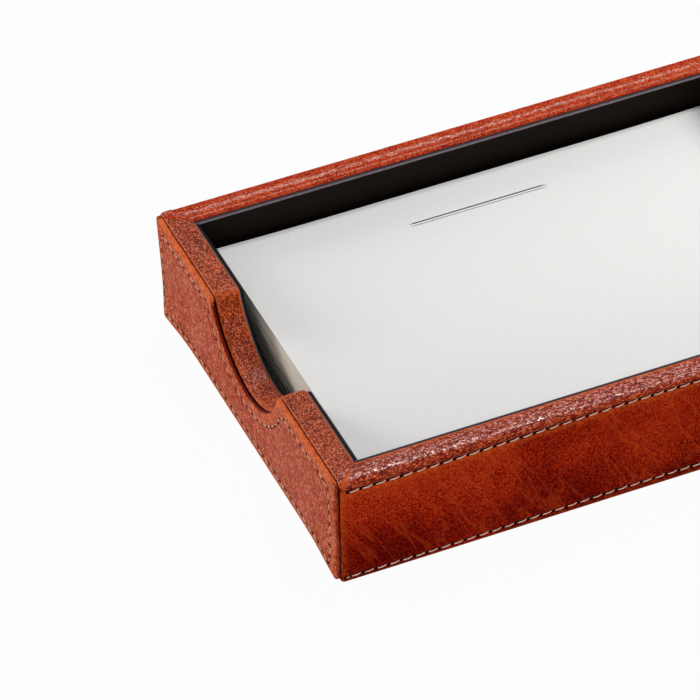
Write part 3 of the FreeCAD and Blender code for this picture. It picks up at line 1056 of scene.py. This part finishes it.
@dataclass
class EndPanel:
    """Goat leather panel on one end: pressed border, pebbled field and a sewn outline."""

    end: End
    tray: TraySizes = TraySizes()
    inset: float = 1.25         # distance from the long walls' faces
    drop: float = 0.6           # distance below the rim
    foot: float = 0.3           # height of its lower corners
    arch: float = 1.3           # rise of its foot between them
    arch_run: float = 20.0      # length of that rise from each corner
    corner_radius: float = 1.3
    edge_radius: float = 0.7
    lean: float = 1.3           # how far the back edge leans out at its top and in at its foot
    lift: float = 0.35          # how far the back upper corner stands up
    flare: float = 0.65         # how far the lower corners curl away from the wall
    curl_place: float = 60.0    # where they do so, from the middle, and how far round it
    curl_half: float = 13.0
    curl_height: float = 9.0
    seam: float = 0.1           # width of the gap between the panel and the wall, painted dark as its shadow
    notch_seam: float = 0.42    # the same, down in the notch
    sewn_front: float = 4.25    # distance of the stitches from each edge
    sewn_back: float = 2.0
    sewn_top: float = 3.7
    sewn_foot: float = 4.2      # height of the lowest row
    sewn_fall: float = 2.4      # how far it would fall with the foot over the arch's run
    sewn_notch: float = 4.0
    groove: float = 0.2
    notch_half: float = 26.0    # half of the stretch that the notch takes up
    notch_floor: float = 12.0   # a height below the notch and above the foot

    def outline(self, step: float) -> Array:
        """Closed outline of the panel.

        Args:
            step: Rough distance between points in mm.

        Returns:
            Points as (y, z), once round from the middle of the foot towards the front.
        """
        t = self.tray
        span, radius = t.half_width - self.inset, self.corner_radius
        level = self.foot + self.arch
        bend = (self.arch_run**2 + self.arch**2) / (2 * self.arch)
        y = np.arange(0, self.arch_run - radius, step)
        dip = np.column_stack([self.arch_run - span - y, level - bend + np.sqrt(bend**2 - y**2)])
        low = dip[-1, 1]
        line, out = rim_line(t, span, step)
        rim = line - out * self.drop
        rim = rim[(rim[:, 0] > radius - span) & (rim[:, 0] < 0)]
        top = t.rim_height - self.drop
        half = chain(
            run((0, level), (self.arch_run - span, level), step), dip,
            arc((radius - span, low + radius), radius, 270, 180, 7),
            run((-span, low + radius), (-span, top - radius), step),
            arc((radius - span, top - radius), radius, 180, 90, 7), rim)
        loop = np.vstack([half, (half[::-1] * [-1, 1])[:-1]])
        mid_height = 17
        loop[:, 0] += self.lean * unit((loop[:, 0] - 50) / 12) * (loop[:, 1] - mid_height) / mid_height
        loop[:, 1] += self.lift * bell(loop[:, 0] - span, 4.0) * unit(loop[:, 1] / 15 - 1)
        return loop

    def curl(self, places: Array) -> Array:
        """How far the panel curls away from the wall at (y, z) places near its lower corners."""
        near = bell(np.abs(places[:, 0]) - self.curl_place, self.curl_half)
        return self.flare * bell(places[:, 1], self.curl_height) * near

    def in_notch(self, places: Array, start: float) -> Array:
        """Measures how far places lie down in the notch.

        Args:
            places: Places as (y, z).
            start: How far below the panel's top it begins, in mm.

        Returns:
            The share at each place, from 0 to 1.
        """
        y, z = places.T
        down = unit((self.tray.rim_height - self.drop - start - z) / 0.8)
        return down * (np.abs(y) < self.notch_half) * (z > self.notch_floor)

    def sewn_line(self) -> Array:
        """Draws the closed line of the stitches, with sharp turns beside the notch.

        Returns:
            Points as (y, z).
        """
        t = self.tray
        front, back = self.inset + self.sewn_front - t.half_width, t.half_width - self.inset - self.sewn_back
        top = t.rim_height - self.drop - self.sewn_top
        radius = t.notch_radius + self.drop + self.sewn_notch
        lean = math.degrees(math.asin((t.notch_centre - top) / radius))
        turn = 1.2
        foot = run((front + turn, self.sewn_foot), (back - turn, self.sewn_foot), 0.5)
        past = np.clip(np.abs(foot[:, 0]) - t.half_width + self.inset + self.arch_run, 0, None)
        foot[:, 1] -= self.sewn_fall * (past / self.arch_run) ** 2
        return chain(
            foot, arc((back - turn, foot[-1, 1] + turn), turn, 270, 360, 5),
            arc((back - turn, top - turn), turn, 0, 90, 5),
            arc((0, t.notch_centre), radius, -lean, lean - 180, 60),
            arc((front + turn, top - turn), turn, 90, 180, 5),
            arc((front + turn, foot[0, 1] + turn), turn, 180, 270, 5))

    def scattered(self, outline: Array) -> Array:
        """Spreads points over the panel, dense near its edge.

        Args:
            outline: The closed outline.

        Returns:
            Points as (y, z), with the outline first.
        """
        inward = -side_vectors(np.vstack([outline[-1:], outline, outline[:1]]))[1:-1]
        far = geometry_tree(resampled(closed(outline), 0.1))
        points = [outline]
        for gap in (0.1, 0.25, 0.42, 0.65, 0.95, *(1.3 + 0.4 * k for k in range(10)), 5.4, 6.0):
            loop = outline + inward * gap
            points.append(loop[far(loop) > gap - 0.03])
        # a net of even triangles fills the middle
        spacing, clear = 1.5, 6.8
        y, z = np.meshgrid(np.arange(-63, 63, spacing), np.arange(1, 34, spacing * 0.866))
        y = y + (np.arange(len(y))[:, None] % 2) * spacing / 2
        net = np.column_stack([y.ravel(), z.ravel()])
        net = net[inside(net, outline)]
        return np.vstack([*points, net[far(net) > clear]])

    def front(self, skin: Skin, outline: Array, sewn: Array, holes: Array) -> None:
        """Adds the panel's front.

        Args:
            skin: Where the faces go.
            outline: The closed outline.
            sewn: The closed line of the stitches.
            holes: The needle holes on that line.
        """
        t, radius = self.tray, self.edge_radius
        corners = [Vector(p) for p in self.scattered(outline)]
        found, _, faces, *_ = geometry.delaunay_2d_cdt(corners, [], [list(range(len(outline)))], 1, 1e-4)
        places = np.array([tuple(p) for p in found])
        edge = geometry_tree(resampled(closed(outline), 0.1))(places)
        edge[:len(outline)] = 0.0
        row = geometry_tree(resampled(closed(sewn), 0.1))(places)
        hole = geometry_tree(holes)(places)
        field_side = inside(places, sewn)
        round_off = radius - np.sqrt(radius**2 - np.clip(radius - edge, 0, radius) ** 2)
        plump = np.where(field_side, 0.14 * unit(row / 2.5), 0.08 * unit(row / 1.0))
        sunk = self.groove * bell(row, 0.45) + 0.14 * bell(hole, 0.55)
        lumps = 0.05 * ripple(np.column_stack([places, np.zeros(len(places))]), 9.0, 2.0)
        thickness = t.half_length - t.body_half_length
        x = t.body_half_length + thickness - round_off - (sunk - plump - lumps) * unit(edge / 1.2)
        cloud = np.column_stack([self.end.value * (x + self.curl(places)), places])
        wear_and_shade = np.where(field_side, unit(0.15 - row / 3.0), 0.28) + 0.7 * bell(edge - 0.2, 0.6)
        # darker along the upright edges, and painted shade along the edge down in the notch
        wear_and_shade = wear_and_shade - 1.15 * bell(edge, 0.7) * (np.abs(places[:, 0]) > t.half_width - self.inset - 1.0)
        wear_and_shade = wear_and_shade - 1.5 * bell(edge, 0.5) * self.in_notch(places, 1.2)
        # the triangles run one way on the right end and the other way on the left
        turned = [tuple(f) if self.end is End.RIGHT else tuple(f[::-1]) for f in faces]
        skin.add(cloud, turned, np.clip(wear_and_shade, -0.5, 1))

    def band(self, skin: Skin, outline: Array) -> None:
        """Adds the panel's cut edge, from the seam at the wall, painted dark as the shadow in its gap, out to
        the front's rounding.

        Args:
            skin: Where the faces go.
            outline: The closed outline.
        """
        t, ring = self.tray, closed(outline)
        inward = -side_vectors(ring)
        in_notch = self.in_notch(ring, 0.6)
        upright = 1.2 * (np.abs(ring[:, 0]) > t.half_width - self.inset - 0.5)
        back = t.body_half_length
        seam = self.seam + (self.notch_seam - self.seam) * in_notch
        front = t.half_length - self.edge_radius + self.curl(ring)
        # the band is bare, darker on the upright edges, and painted as shade down in the notch
        bare = 0.9 - upright - 1.4 * in_notch
        # each step: how far out, how far in from the outline, and its value: bare when positive, painted
        # shade when negative, black in the seam's gap
        steps = ((back - 0.05 + 0 * seam, 0.4, -1.0), (back + seam, 0.4, -1.0),
                 (back + seam + 0.03, 0.14, -0.6), (back + seam + 0.12, 0.02, bare), (front, 0.0, bare))
        points = np.stack([
            np.column_stack([self.end.value * out, ring + inward * into]) for out, into, _ in steps])
        way = inward[len(ring) // 2]
        skin.grid(points, (0, -way[0], -way[1]), np.stack([w + 0 * seam for *_, w in steps]))

    def stitches(self, holes: Array) -> StitchRow:
        """Lays a row of stitches through the needle holes.

        Args:
            holes: The needle holes as (y, z).

        Returns:
            The closed row.
        """
        along = np.roll(holes, -1, 0) - np.roll(holes, 1, 0)
        along /= np.linalg.norm(along, axis=1)[:, None]
        order = np.arange(len(holes) + 1) % len(holes)
        height = self.end.value * (self.tray.half_length - 0.5 * self.groove + self.curl(holes[order]))
        return StitchRow(
            holes=np.column_stack([height, holes[order]]),
            outward=np.tile([float(self.end.value), 0.0, 0.0], (len(order), 1)),
            across=np.column_stack([np.zeros(len(order)), -along[order, 1], along[order, 0]]),
            thickness=0.34, slant=0.14, shown=(0.22, 0.88), mouth=(0.95, 0.3), shadow_tail=1.5)

    def build(self) -> None:
        """Makes the panel and its sewing as pieces that ride on the tray."""
        side = self.end.name.lower()
        outline, sewn = self.outline(0.55), self.sewn_line()
        holes = resampled(closed(sewn), self.tray.stitch_pitch)[:-1]
        skin = Skin(side + "_end_panel")
        self.front(skin, outline, sewn, holes)
        self.band(skin, outline)
        skin.build(PANEL_HIDE, "tray", "panel_leather", side + "_panel_leather", side + "_panel_card")
        sew(side + "_panel", [self.stitches(holes)], PANEL_THREAD, "panel_leather")


def geometry_tree(points: Array) -> Callable[[Array], Array]:
    """Prepares to measure how far flat places lie from the nearest of some points.

    Args:
        points: The points to measure to.

    Returns:
        A function from places to their distances.
    """
    tree = kdtree.KDTree(len(points))
    for i, point in enumerate(points):
        tree.insert((point[0], point[1], 0.0), i)
    tree.balance()
    return lambda places: np.array([tree.find((p[0], p[1], 0.0))[2] for p in places])


def inside(places: Array, loop: Array) -> Array:
    """Tests which flat places lie inside a closed loop.

    Args:
        places: The places to test.
        loop: Corners of the loop.

    Returns:
        True for each place inside.
    """
    result = np.zeros(len(places), bool)
    y, z = places[:, 0], places[:, 1]
    for (y0, z0), (y1, z1) in zip(loop, np.roll(loop, -1, 0)):
        if z0 != z1:
            result ^= ((z0 > z) != (z1 > z)) & (y < (y1 - y0) * (z - z0) / (z1 - z0) + y0)
    return result


# ---- corner folds ----

@dataclass
class CornerFold:
    """Pared leather folded over one mitre, between a padded roll and an end sleeve."""

    end: End
    flank: Flank
    tray: TraySizes = TraySizes()
    corner_radius: float = 1.3
    columns: int = 40
    crown: float = 0.1          # height of the fold's own crown
    pucker: float = 0.26        # depth of the puckers at its foot

    def outer_line(self) -> Array:
        """Plan line of the fold's outside, from the long wall round the corner to the end.

        Returns:
            Points as depths (from the end's face, from the long wall's face).
        """
        width, radius = self.tray.gusset_width, self.corner_radius
        return chain(run((width, 0), (radius, 0), 0.2), arc((radius, radius), radius, 270, 180, 12),
                     run((0, radius), (0, width), 0.2))

    def build(self) -> None:
        """Makes the fold as a piece that rides on the tray."""
        t = self.tray
        outer = self.outer_line()
        share = line_lengths(outer) / line_lengths(outer)[-1]
        rows = []
        for (a, b), s in zip(outer, share):
            turn = s * s * (3 - 2 * s)
            radius = t.roll_radius + (t.end_radius - t.roll_radius) * turn
            bulge = t.rim_bulge * (1 - turn)
            inner = t.inner_radius + (t.end_radius - t.inner_radius) * turn
            section = chain(
                np.array([(0.5, t.crease + 0.25), (0.15, t.crease + 0.3)]),
                arc((radius - bulge, t.rim_height - radius), radius, 212 - 32 * turn, 90, 12),
                run((radius - bulge, t.rim_height), (t.wall - inner, t.rim_height), 0.3),
                arc((t.wall - inner, t.rim_height - inner), inner, 90, 0, 7),
                np.array([(t.wall, t.rim_height - 2.6)]))
            section = resampled(section, line_lengths(section)[-1] / (self.columns - 0.4))[:self.columns]
            padded = t.crown(section[:, :1], self.flank) * (1 - turn)
            padded = padded * unit((section[:, 1:] - t.crease) / 1.2)
            section = section + side_vectors(section) * padded
            way = np.array([t.wall - a, t.wall - b]) / t.wall
            # a slight crown in the middle of the fold
            z = section[:, 1] + self.crown * math.sin(math.pi * s) * unit((section[:, 1] - t.crease) / 2)
            rows.append(np.column_stack([a + way[0] * section[:, 0], b + way[1] * section[:, 0], z]))
        depth = np.array(rows)
        puckers = ripple(depth, 0.9, 4.0)
        foot = bell(depth[:, :, 2] - t.crease, 1.3)
        depth[:, :, 2] += 0.05 * puckers
        depth[:, :, :2] -= (self.pucker * foot * puckers)[:, :, None]
        points = joined(self.end.value * (t.body_half_length - depth[:, :, 0]),
                        self.flank.value * (t.half_width - depth[:, :, 1]), depth[:, :, 2])
        name = f"{self.flank.name.lower()}_{self.end.name.lower()}"
        skin = Skin(name + "_corner_fold")
        middle = bell(share - 0.4, 0.2)[:, None]
        lightened = 0.75 if self.flank is Flank.FRONT else 0.12
        # painted shade: nearly black in the crease at the fold's foot, and darker in the puckers' hollows
        wear_and_shade = lightened * middle * (1 - foot) - 1.5 * bell(depth[:, :, 2] - t.crease - 0.2, 0.22)
        skin.grid(points, (0, 0, 1), wear_and_shade - foot * unit(-1.5 * puckers))
        skin.build(ROLLED[self.flank], "tray", "wall_leather", name + "_gusset")


# ---- note sheets ----

@dataclass
class NoteSheets:
    """Loose note sheets: a pile whose ends curl a little, and the top sheet with its printed rule."""

    length: float = 148.0
    width: float = 105.0
    thickness: float = 0.2
    floor: float = reach("sheet_stack", 2)[0]
    top: float = reach("sheet_stack", 2)[1]
    curl: float = 0.45          # lift of the topmost sheets' ends
    jitter: float = 0.14        # how far sheets slide past each other
    turn: float = 0.0006        # how far they turn on each other, in radians
    flat_half: float = 40.0     # half of the length that stays flat
    columns: int = 48

    def curled(self, x: Array, level: float) -> Array:
        """Lift of a sheet's ends; level is 1 at the top of the pile and 0 at its foot."""
        share = np.clip(np.abs(x) - self.flat_half, 0, None) / (self.length / 2 - self.flat_half)
        return self.curl * level**5 * share**2

    def slab(self, skin: Skin, base: float, level: float, shift: Array, thickness: float) -> None:
        """Adds one closed sheet.

        Args:
            skin: Where the faces go.
            base: Height of its underside in the middle.
            level: Its place in the pile, from 0 to 1.
            shift: How far it lies off the middle, and its turn in radians.
            thickness: Its thickness.
        """
        x = np.linspace(-self.length / 2, self.length / 2, self.columns)
        half = self.width / 2
        ring = np.array([(-half, 0.0), (-half, thickness), (half, thickness), (half, 0.0)])
        x, y = x[:, None], ring[None, :, 0]
        z = base + self.curled(x, level) + ring[None, :, 1]
        points = joined(x + shift[0] - y * shift[2], y + shift[1] + x * shift[2], z)
        last = 4 * (self.columns - 1)
        caps = [(3, 2, 1, 0), (last, last + 1, last + 2, last + 3)]
        skin.add(points.reshape(-1, 3), tube_faces(self.columns, 4) + caps)

    def build(self) -> None:
        """Makes the pile, the top sheet and its printed rule."""
        chance = np.random.default_rng(7)
        count = round((self.top - self.floor) / self.thickness)
        pile, uppermost = Skin("note_sheet_pile"), Skin("uppermost_pile_sheet")
        for i in range(count):
            shift = chance.normal(0, 1, 3) * [self.jitter, self.jitter, self.turn]
            # the pile shows cut edges only, and the sheet that lies on it shows its face
            skin = uppermost if i == count - 1 else pile
            self.slab(skin, self.floor + i * self.thickness, i / count, shift, self.thickness * 0.8)
        # sheets have crisp edges
        pile.build(CUT_PAPER, "sheet_stack", "paper", "sheet_stack").data.shade_flat()
        uppermost.build(NOTE_PAPER, "sheet_stack", "paper").data.shade_flat()
        sheet = Skin("top_note_sheet")
        self.slab(sheet, self.top, 1.0, np.zeros(3), self.thickness)
        sheet.build(NOTE_PAPER, "top_sheet", "paper", "top_sheet").data.shade_flat()
        self.printed_rule()

    def printed_rule(self, centre: tuple[float, float] = (-0.8, 39.0), length: float = 41.8) -> None:
        """Prints a plain double rule near the sheet's upper edge.

        Args:
            centre: Middle of the rule.
            length: Its length in mm.
        """
        # each line lies off the middle by the first number and is as wide as the second
        lines = ((0.45, 0.5), (-0.6, 0.22))
        skin = Skin("printed_heading_rule")
        height = self.top + self.thickness + 0.01
        for offset, weight in lines:
            x = np.linspace(-length / 2, length / 2, 60)
            taper = 0.5 * weight * np.clip((length / 2 - np.abs(x)) / 1.5, 0.15, 1)
            both = np.array([[-1.0], [1.0]])
            skin.grid(joined(x + centre[0], centre[1] + offset + both * taper, height), (0, 0, 1))
        skin.build(PRINT_INK, "top_sheet", "paper")


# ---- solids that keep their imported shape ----

@dataclass
class HiddenCore:
    """Boards, linings, cards and felt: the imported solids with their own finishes."""

    finishes: tuple[tuple[Finish | EdgedBoard, str], ...] = (
        (GREYBOARD, "base_board front_board back_board left_board right_board"),
        (GREYBOARD, "left_panel_card right_panel_card"),
        (BASE_FELT, "base_felt"), (FLOOR_BOARD, "floor_lining"),
        (FLANK_BOARD, "front_lining back_lining"), (END_BOARD, "left_lining right_lining"),
    )

    def dress(self) -> None:
        """Puts each finish on its solid."""
        pairs = [(finish, node) for finish, names in self.finishes for node in names.split()]
        for finish, node in pairs:
            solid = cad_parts[node]
            if not solid.material_slots:
                solid.data.materials.append(None)
            for slot in solid.material_slots:
                slot.material = SHOP.paint(finish)
            log.info("%s: %s", node, finish.name)


class PaintShop:
    """Paints each finish once and hands out the material after that."""

    def __init__(self) -> None:
        """Starts with no paint mixed."""
        self.ready: dict[str, bpy.types.Material] = {}

    def paint(self, finish: Hide | Finish | EdgedBoard) -> bpy.types.Material:
        """Hands out a finish's material.

        Args:
            finish: The finish.

        Returns:
            Its material.
        """
        if finish.name not in self.ready:
            self.ready[finish.name] = finish.paint()
        return self.ready[finish.name]


SHOP = PaintShop()


# ---- studio ----

def sight(azimuth: float, elevation: float) -> Vector:
    """Unit vector from the tray towards a place given in degrees."""
    a, e = math.radians(azimuth), math.radians(elevation)
    return Vector((math.sin(a) * math.cos(e), -math.cos(a) * math.cos(e), math.sin(e)))


@dataclass
class Softbox:
    """A rectangular studio lamp that points at the tray."""

    name: str
    azimuth: float              # degrees; 0 stands in front and 90 at the right
    elevation: float
    distance: float             # metres
    size: tuple[float, float]   # metres
    level: float                # brightness of a white card that faces it, from 0 to 1

    def build(self) -> None:
        """Hangs the lamp."""
        away = sight(self.azimuth, self.elevation)
        lamp = bpy.data.lights.new(self.name, "AREA")
        lamp.shape = "RECTANGLE"
        lamp.size, lamp.size_y = self.size
        # a lamp of P watts gives a white card a radiance of P / (pi^2 d^2)
        lamp.energy = self.level * math.pi**2 * self.distance**2
        piece = stand(self.name, lamp)
        piece.location = away * self.distance
        piece.rotation_euler = away.to_track_quat("Z", "Y").to_euler()


def backdrop_rays(nodes: Nodes) -> bpy.types.NodeSocket:
    """Picks out the rays that see a backdrop, directly or in a reflection.

    Args:
        nodes: The backdrop's node tree.

    Returns:
        1 for those rays and 0 for the rays that carry its light.
    """
    path = nodes.add("ShaderNodeLightPath").outputs
    seen = nodes.math("ADD", path["Is Camera Ray"], path["Is Glossy Ray"], clamp=True)
    return nodes.math("ADD", seen, path["Is Transmission Ray"], clamp=True)


@dataclass
class Studio:
    """White sweep, pale surroundings, soft lamps and the camera."""

    sweep_half: float = 8.0     # metres
    sweep_drop: float = 0.0002  # how far the floor lies below the tray's foot, in metres
    sweep_white: float = 0.97   # how much of the floor is shown as pure white
    ambient: float = 0.19       # strength of the room's light on the tray
    lamps: tuple[Softbox, ...] = (
        Softbox("overhead_softbox", 98.0, 42.0, 0.7, (0.35, 0.35), 0.61),
        Softbox("back_glint", 150.0, 60.0, 1.5, (0.24, 0.16), 0.2),
        Softbox("front_glint", 20.0, 36.0, 1.5, (0.2, 0.16), 0.04),
        Softbox("left_softbox", -134.0, 17.3, 1.2, (0.5, 0.35), 0.38),
        Softbox("low_left_fill", -130.0, 7.0, 1.6, (1.0, 0.3), 0.22),
        Softbox("front_fill", -24.0, 10.0, 1.1, (0.8, 0.3), 0.41),
    )
    azimuth: float = -21.345    # the camera's place and turn, in degrees
    elevation: float = 39.705
    roll: float = 2.84
    distance: float = 1579.98   # mm
    target: tuple[float, float, float] = (-55.53, 2.49, 20.0)
    lens: float = 298.88
    sensor: float = 36.0

    def floor(self) -> None:
        """Lays the sweep of grey paper, which the camera sees as white and which keeps a faint shadow."""
        p = Paint("white_paper_sweep")
        p.finish(Base_Color=linear("#a4a4a4"), Roughness=0.9)
        glow = p.add("ShaderNodeEmission", {"Strength": 1.0}).outputs[0]
        share = p.math("MULTIPLY", backdrop_rays(p), self.sweep_white)
        mixed = p.add("ShaderNodeMixShader", {0: share, 1: p.shader.outputs[0], 2: glow}).outputs[0]
        p.tree.links.new(mixed, p.output.inputs["Surface"])
        half = self.sweep_half
        mesh = bpy.data.meshes.new("paper_sweep")
        corners = [(-half, -half, 0), (half, -half, 0), (half, half, 0), (-half, half, 0)]
        mesh.from_pydata(corners, [], [(0, 1, 2, 3)])
        mesh.materials.append(p.material)
        sweep = stand("paper_sweep", mesh)
        sweep.location.z = -self.sweep_drop

    def surroundings(self) -> None:
        """Pale room light that shows as white behind the tray."""
        world = bpy.data.worlds.new("pale_room")
        world.use_nodes = True
        bpy.context.scene.world = world
        nodes = Nodes(world.node_tree)
        strength = nodes.ramp(backdrop_rays(nodes), low=self.ambient)
        room = nodes.add("ShaderNodeBackground", {"Color": linear("#ffffff"), "Strength": strength})
        nodes.add("ShaderNodeOutputWorld", {"Surface": room.outputs[0]})

    def camera(self) -> None:
        """Stands the camera on its line of sight, turned by its roll."""
        a, r = math.radians(self.azimuth), math.radians(self.roll)
        back = sight(self.azimuth, self.elevation)
        right = Vector((math.cos(a), math.sin(a), 0.0))
        right = right * math.cos(r) - back.cross(right) * math.sin(r)
        up = back.cross(right)
        data = bpy.data.cameras.new("studio_camera")
        data.lens, data.sensor_width = self.lens, self.sensor
        data.clip_start, data.clip_end = 0.05, 60.0
        piece = stand("studio_camera", data)
        turn = Matrix((right, up, back)).transposed().to_4x4()
        place = (Vector(self.target) + back * self.distance) * MM
        piece.matrix_world = Matrix.Translation(place) @ turn
        bpy.context.scene.camera = piece

    def build(self) -> None:
        """Sets up the whole studio."""
        self.floor()
        self.surroundings()
        for lamp in self.lamps:
            lamp.build()
        self.camera()
        bpy.context.scene.view_settings.view_transform = "Standard"


def main() -> None:
    """Builds every sub-assembly in order."""
    logging.basicConfig(level=logging.INFO, format="%(name)s: %(message)s")
    HiddenCore().dress()
    for flank in Flank:
        LongWall(flank).build()
    for end in End:
        NotchedEnd(end).build()
        EndPanel(end).build()
        for flank in Flank:
            CornerFold(end, flank).build()
    NoteSheets().build()
    Studio().build()


if __name__ == "__main__":
    main()
